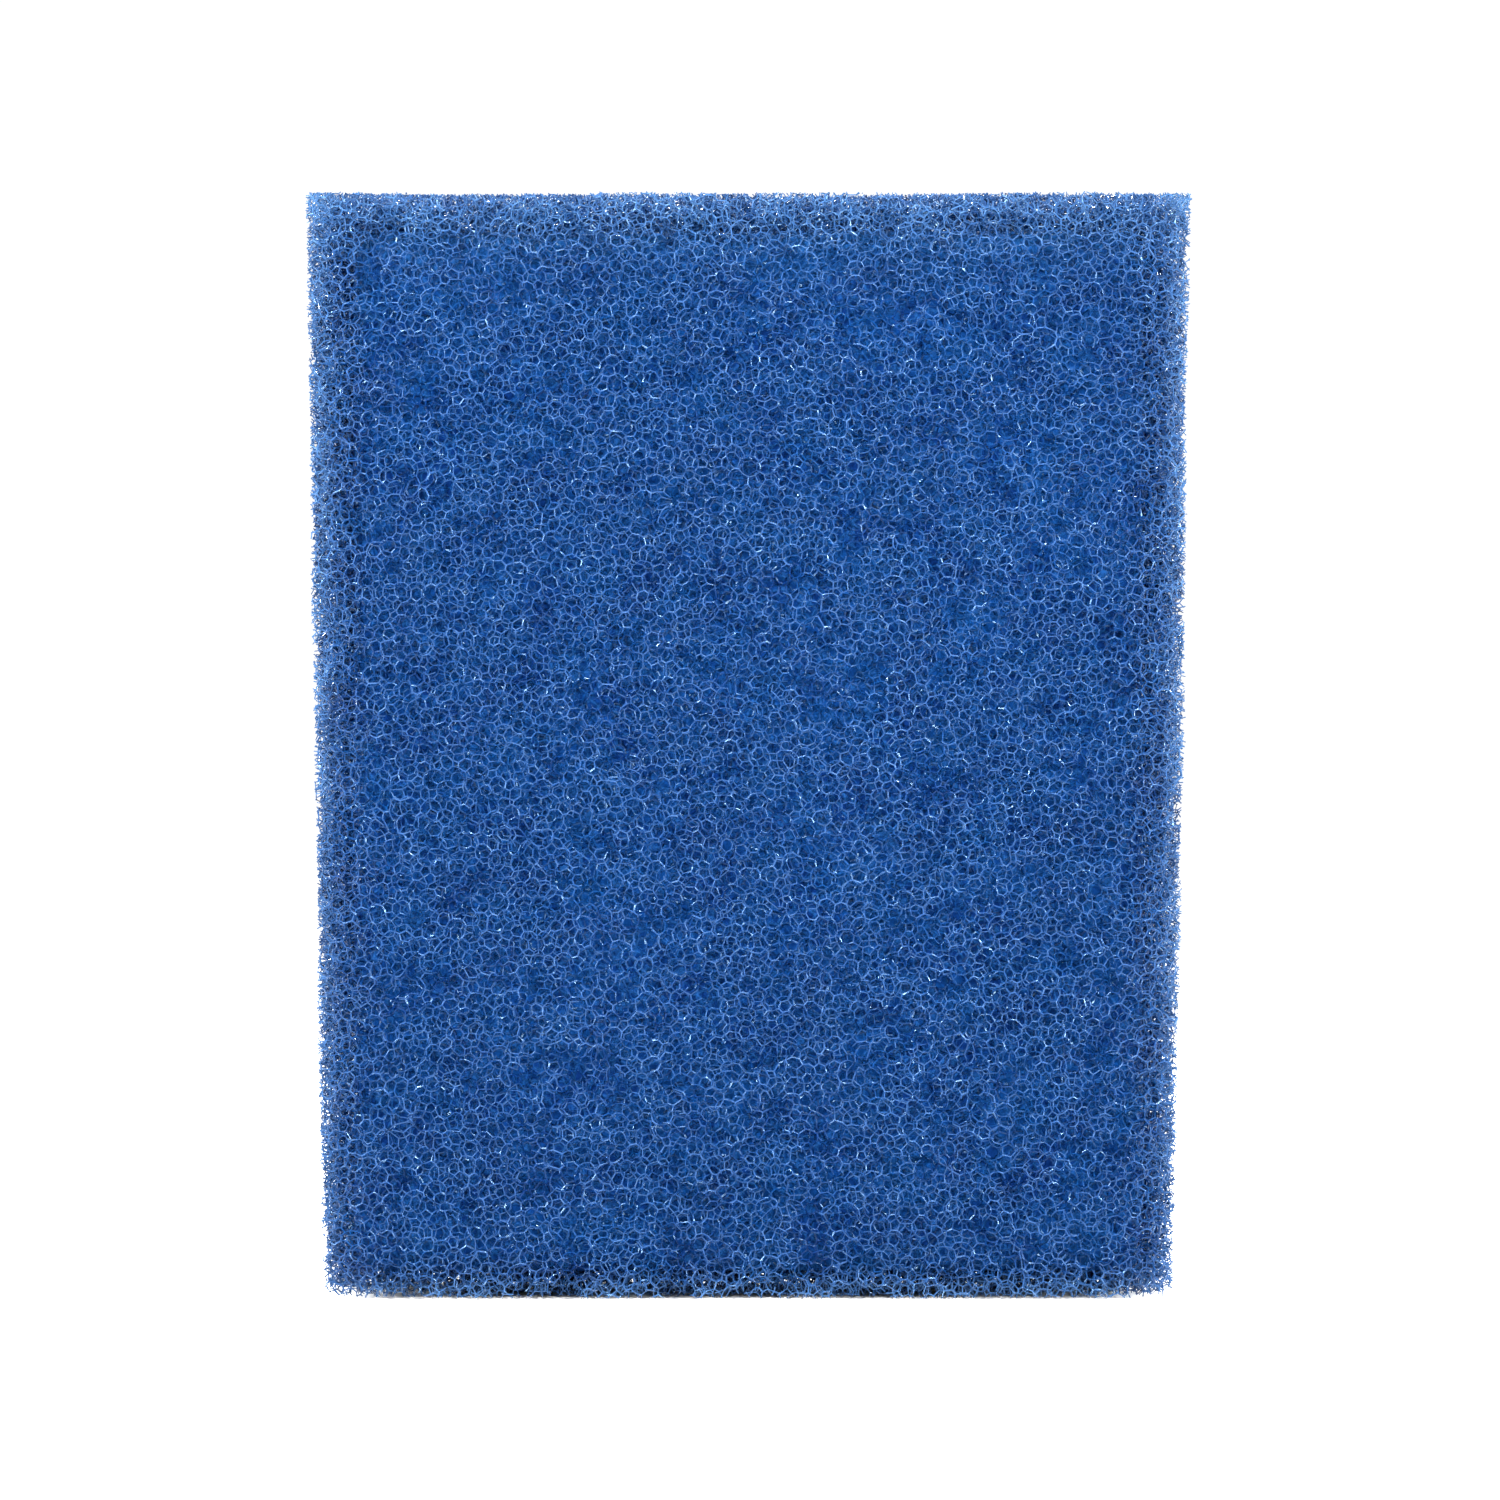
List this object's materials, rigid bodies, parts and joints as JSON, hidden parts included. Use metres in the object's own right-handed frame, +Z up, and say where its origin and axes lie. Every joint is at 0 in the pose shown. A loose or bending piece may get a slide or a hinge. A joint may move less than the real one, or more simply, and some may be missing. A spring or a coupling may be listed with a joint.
{
  "type": "sponge filter pad",
  "caption": "Rectangular block of coarse open-cell foam for a pond or aquarium filter, standing on its short end.",
  "frame": {"origin": "middle of the short end that the pad stands on", "axes": "+Z up along the height, +X across the broad faces, Y through the thickness with the front face at -Y"},
  "size_m": [0.135, 0.05, 0.172],
  "materials": {
    "foam": "blue open-cell polyurethane foam, satin struts with small glints"
  },
  "bodies": {
    "root": {"foam_pad": "foam"}
  },
  "joints": []
}
